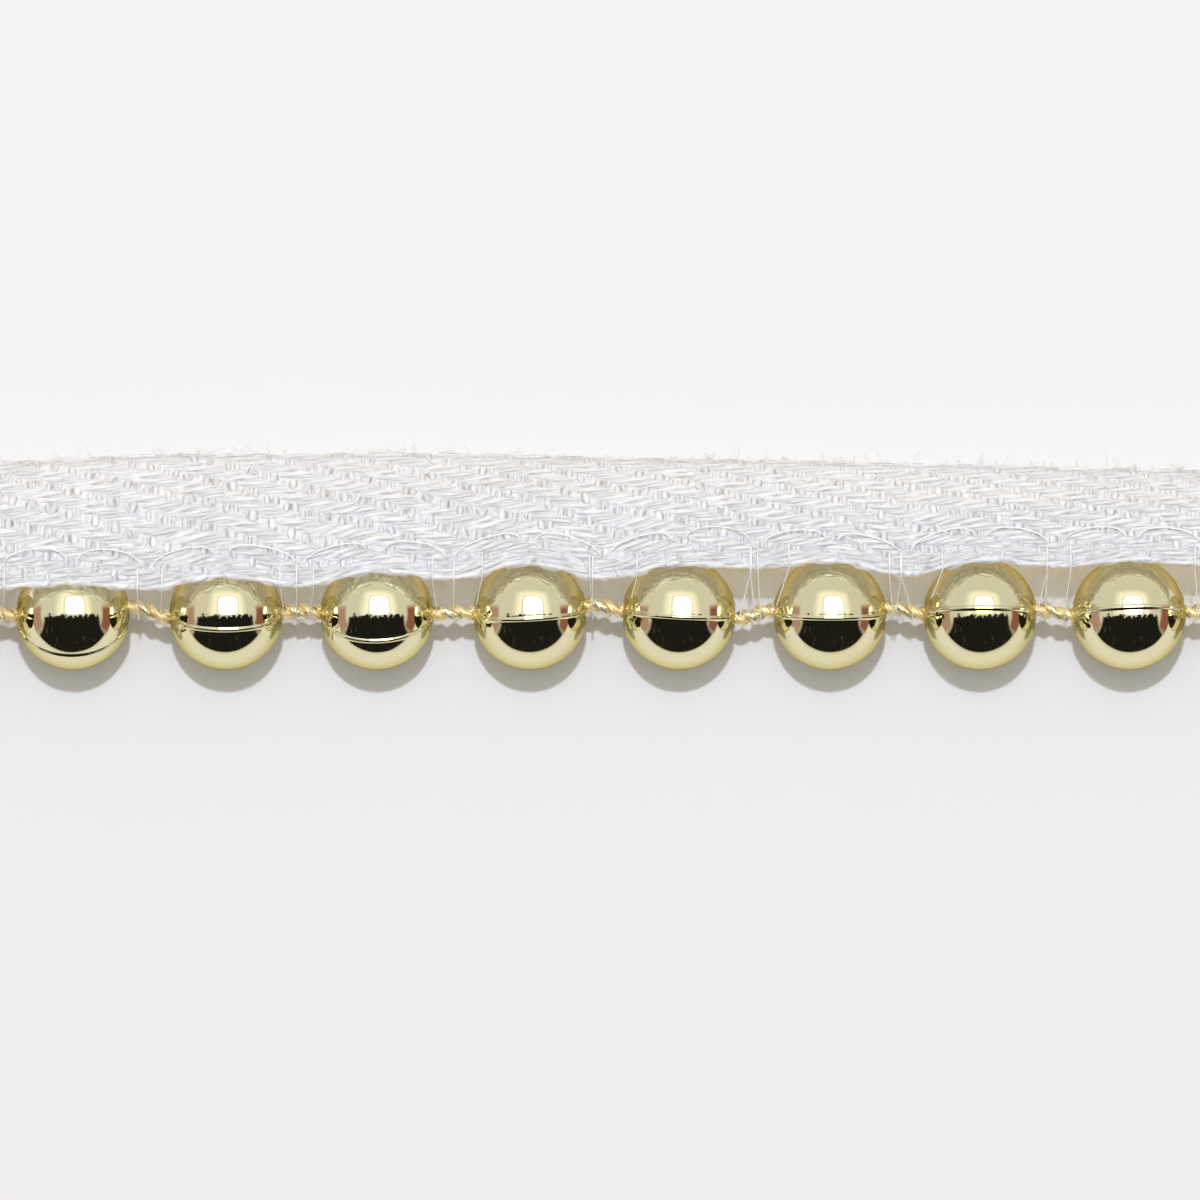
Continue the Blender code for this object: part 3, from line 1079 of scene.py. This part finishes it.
def add_stitches(finish):
    rng = random.Random(STITCH_SEED)
    tree = strand_tree()
    values = {"Diameter": STITCH_DIAMETER, "Sides": STITCH_SIDES, "Finish": finish}
    arcs = make_piece("needle_stitches", tree, line_mesh("arc_lines", needle_arcs(rng)), values)
    loops = make_piece("looper_stitches", tree, line_mesh("loop_lines", looper_strands(rng)), values)
    return arcs, loops


# Gold thread

THREAD_PLIES = 2
STRANDS_PER_PLY = 4
PLY_CIRCLE = 0.165 * MM
STRAND_CIRCLE = 0.115 * MM
STRAND_DIAMETER = 0.20 * MM
PLY_LAY = 1.35 * MM
STRAND_LAY = 1.1 * MM
THREAD_STEP = 0.10 * MM
THREAD_LOOSENESS = 0.05 * MM

# Sway of the thread in each gap: how far behind its line it leaves one ball and enters the next, in
# millimetres
THREAD_SWAY = (
    {"leaves": 0.05, "enters": -0.05},
    {"leaves": 0.32, "enters": -0.12},
    {"leaves": 0.10, "enters": 0.08},
    {"leaves": 0.02, "enters": 0.05},
    {"leaves": 0.40, "enters": 0.15},
    {"leaves": -0.20, "enters": 0.12},
    {"leaves": 0.25, "enters": 0.02},
    {"leaves": 0.16, "enters": -0.05},
    {"leaves": 0.05, "enters": 0.10},
)


def ball_middle(index):
    even = (index - (len(BALLS) - 1) / 2) * BALL_PITCH
    return even + BALLS[index]["shift"] * MM


def thread_line():
    """The thread's middle: through each ball, and a little off its line in each gap."""
    points = [place(-LENGTH / 2, 0, AXIS_HEIGHT)]
    for index, sway in enumerate(THREAD_SWAY):
        leaves = ball_middle(index) + BALL_RADIUS + 0.15 * MM
        enters = ball_middle(index + 1) - BALL_RADIUS - 0.15 * MM
        points.append(place(ball_middle(index), 0, AXIS_HEIGHT))
        points.append(place(leaves, sway["leaves"] * MM, AXIS_HEIGHT + 0.05 * MM))
        points.append(place(enters, sway["enters"] * MM, AXIS_HEIGHT + 0.02 * MM))
    points.append(place(ball_middle(len(BALLS) - 1), 0, AXIS_HEIGHT))
    points.append(place(LENGTH / 2, 0, AXIS_HEIGHT))
    return smooth_line(points, steps=8)


def thread_tree():
    """Twists strands into plies and the plies into one thread along a line."""
    tree, given, result = new_tree(
        "twisted_thread",
        "GeometryNodeTree",
        (
            ("Route", "shape"),
            ("Plies", "count"),
            ("Strands", "count"),
            ("Ply Circle", "number"),
            ("Strand Circle", "number"),
            ("Strand Diameter", "number"),
            ("Ply Lay", "number"),
            ("Strand Lay", "number"),
            ("Step", "number"),
            ("Looseness", "number"),
            ("Foil", "finish"),
            ("Floss", "finish"),
        ),
        (("Thread", "shape"),),
    )
    line = take(put(tree, "GeometryNodeMeshToCurve", {"Mesh": given["Route"]}))
    inputs = {"Curve": line, "Length": given["Step"]}
    even = take(put(tree, "GeometryNodeResampleCurve", inputs, mode="LENGTH"))
    number = given["Plies"].math("MULTIPLY", given["Strands"])
    inputs = {"Geometry": even, "Amount": number}
    copies = put(tree, "GeometryNodeDuplicateElements", inputs, domain="SPLINE")
    copy = take(copies, "Duplicate Index")
    ply = copy.math("DIVIDE", given["Strands"]).math("FLOOR")
    strand = copy - ply * given["Strands"]
    run = take(put(tree, "GeometryNodeSplineParameter"), "Length")
    ply_angle = (run / given["Ply Lay"] + ply / given["Plies"]) * (2 * math.pi)
    strand_angle = (run / given["Strand Lay"] + strand / given["Strands"]) * (2 * math.pi)
    spot = take(put(tree, "GeometryNodeInputPosition"))
    wander = noise(tree, spot, 900.0, seed=copy, output="Color")
    loose = wander.vector_math("SUBTRACT", (0.5, 0.5, 0.5)) * given["Looseness"]
    y = ply_angle.cos() * given["Ply Circle"] + strand_angle.cos() * given["Strand Circle"]
    z = ply_angle.sin() * given["Ply Circle"] + strand_angle.sin() * given["Strand Circle"]
    twisted = move(tree, take(copies, "Geometry"), vector(tree, 0.0, y, z) + loose)
    marked = store(tree, twisted, "ply", ply)
    strands = sweep(tree, marked, 6, given["Strand Diameter"] * 0.8, given["Strand Diameter"] * 1.15)
    smooth = take(put(tree, "GeometryNodeSetShadeSmooth", {0: strands}))
    real = take(put(tree, "GeometryNodeRealizeInstances", {"Geometry": smooth}))
    foiled = take(put(tree, "GeometryNodeSetMaterial", {"Geometry": real, "Material": given["Foil"]}))
    is_floss = own(tree, "ply").math("LESS_THAN", 0.5)
    both = {"Geometry": foiled, "Selection": is_floss, "Material": given["Floss"]}
    feed(result.inputs[0], take(put(tree, "GeometryNodeSetMaterial", both)))
    return tree


def add_thread(foil, floss):
    values = {
        "Plies": THREAD_PLIES,
        "Strands": STRANDS_PER_PLY,
        "Ply Circle": PLY_CIRCLE,
        "Strand Circle": STRAND_CIRCLE,
        "Strand Diameter": STRAND_DIAMETER,
        "Ply Lay": PLY_LAY,
        "Strand Lay": STRAND_LAY,
        "Step": THREAD_STEP,
        "Looseness": THREAD_LOOSENESS,
        "Foil": foil,
        "Floss": floss,
    }
    return make_piece("gold_thread", thread_tree(), line_mesh("thread_line", [thread_line()]), values)


# Balls

BALL_SEGMENTS = 112
BALL_RINGS = 88
RIB_CROWDING = 0.94
BORE_RADIUS = 0.42 * MM
BORE_DEPTH = 0.7 * MM
CRUMPLE_DEPTH = 0.10 * MM
DENT_DEPTH = 0.02 * MM


def ball_tree():
    """A moulded ball with its poles on the thread: the parting rib, a dimple at each bore, crumpled plating
    along the rib near the bores, and a flat where it rests."""
    tree, given, result = new_tree(
        "moulded_ball",
        "GeometryNodeTree",
        (
            ("Radius", "number"),
            ("Middle", "vector"),
            ("Rib Turn", "number"),
            ("Rib Slope", "number"),
            ("Rib Height", "number"),
            ("Rib Width", "number"),
            ("Bore Radius", "number"),
            ("Bore Depth", "number"),
            ("Crumple Depth", "number"),
            ("Seed", "number"),
            ("Segments", "count"),
            ("Rings", "count"),
            ("Finish", "finish"),
        ),
        (("Ball", "shape"),),
    )
    inputs = {"Segments": given["Segments"], "Rings": given["Rings"], "Radius": 1.0}
    sphere = put(tree, "GeometryNodeMeshUVSphere", inputs)
    spot = take(put(tree, "GeometryNodeInputPosition"))
    a, b, along = spot.parts()
    turn = b.math("ARCTAN2", a)
    crowded = turn - (turn * 2.0).sin() * (RIB_CROWDING / 2)
    off_pole = (along * along * -1.0 + 1.0).math("MAXIMUM", 0.0).math("SQRT")
    side = off_pole * crowded.sin() * -1.0
    up = off_pole * crowded.cos()
    from_rib = side.size() * given["Radius"] / given["Rib Width"]
    rib = from_rib.ramp(0.75, 0.25) * off_pole.ramp(0.10, 0.35) * given["Rib Height"]
    normal = vector(tree, along, side, up)
    reach = along.ramp(-0.25, 0.25, 0.60, 0.80)
    ends = (along.size() - reach).ramp(0.0, 0.16)
    band = side.size().ramp(0.34, 0.18)
    cap = off_pole.ramp(0.50, 0.30)
    crumple = (ends * band).math("MAXIMUM", cap)
    folds = noise(tree, normal, 15.0, detail=4.0, seed=given["Seed"]) - 0.5
    dents = noise(tree, normal, 1.6, detail=1.0, seed=given["Seed"]) - 0.5
    proud = rib + folds * crumple * given["Crumple Depth"] * 2.0 + dents * DENT_DEPTH
    bore = given["Bore Radius"] / given["Radius"]
    dimple = off_pole.ramp(bore, bore * 0.6)
    inward = along.math("SIGN") * dimple * given["Bore Depth"] * -1.0
    surface = normal * (proud + given["Radius"]) + vector(tree, inward, 0.0, 0.0)
    shaped = move(tree, take(sphere, "Mesh"), position=surface)
    # The crumple mask also darkens the plating's colour there, as painted crease shade.
    marked = store(tree, shaped, "crumple", crumple)
    turned = put(
        tree,
        "GeometryNodeTransform",
        {
            "Geometry": marked,
            "Rotation": vector(tree, given["Rib Turn"], 0.0, given["Rib Slope"]),
            "Translation": given["Middle"],
        },
    )
    x, y, z = take(put(tree, "GeometryNodeInputPosition")).parts()
    rested = move(tree, take(turned), position=vector(tree, x, y, z.math("MAXIMUM", 0.0)))
    end_tree(tree, result, rested, given["Finish"])
    return tree


def add_balls(tree, finish):
    balls = []
    for index, ball in enumerate(BALLS):
        values = {
            "Radius": BALL_RADIUS,
            "Middle": place(ball_middle(index), 0, AXIS_HEIGHT),
            "Rib Turn": math.radians(ball["rib_turn"]),
            "Rib Slope": math.radians(ball["rib_slope"]),
            "Rib Height": RIB_HEIGHT,
            "Rib Width": RIB_WIDTH,
            "Bore Radius": BORE_RADIUS,
            "Bore Depth": BORE_DEPTH,
            "Crumple Depth": CRUMPLE_DEPTH,
            "Seed": float(ball["seed"]),
            "Segments": BALL_SEGMENTS,
            "Rings": BALL_RINGS,
            "Finish": finish,
        }
        name = f"ball_{index + 1:02d}"
        balls.append(make_piece(name, tree, bpy.data.meshes.new(name), values))
    return balls


# Putting it together

bpy.context.scene.view_settings.view_transform = "Standard"
add_camera()
add_lights()
add_world()
add_floor(floor_material())

fibres = cotton_group()
finishes = {
    "warp": cotton_material("warp_cotton", fibres, ALONG_X, WHITE, WARM_WHITE, 1.0),
    "weft": cotton_material("weft_cotton", fibres, ALONG_Y, WHITE, WARM_WHITE, 2.0),
    "ground": cotton_material("ground_cotton", fibres, ALONG_X, WHITE, WARM_WHITE, 3.0, GROUND_LIGHT_PASSED),
    "fuzz": cotton_material("fuzz_cotton", fibres, ALONG_X, WHITE, WHITE, 4.0),
}
wear = plating_group()
films = {name: plating_material(name, wear, **looks) for name, looks in METAL_FILMS.items()}

ground = add_ground(finishes["ground"])
warp, weft = add_yarns(yarn_tree(), finishes)
fuzzy = fuzz_tree()
fuzz = make_piece("cotton_fuzz", fuzzy, warp.data.copy(), {**CLOTH_FUZZ, "Finish": finishes["fuzz"]})
edge_fuzz = make_piece("edge_fuzz", fuzzy, edge_mesh(), {**EDGE_FUZZ, "Finish": finishes["fuzz"]})
arcs, loops = add_stitches(clear_material())
thread = add_thread(films["gold_foil"], films["orange_foil"])
balls = add_balls(ball_tree(), films["gold_plating"])

for piece in (ground, warp, weft, fuzz, edge_fuzz, arcs, loops, thread, *balls):
    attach(piece, "root")
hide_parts("tape")
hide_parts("thread")
for index, ball in enumerate(balls):
    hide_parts(f"bead_{index + 1:02d}")
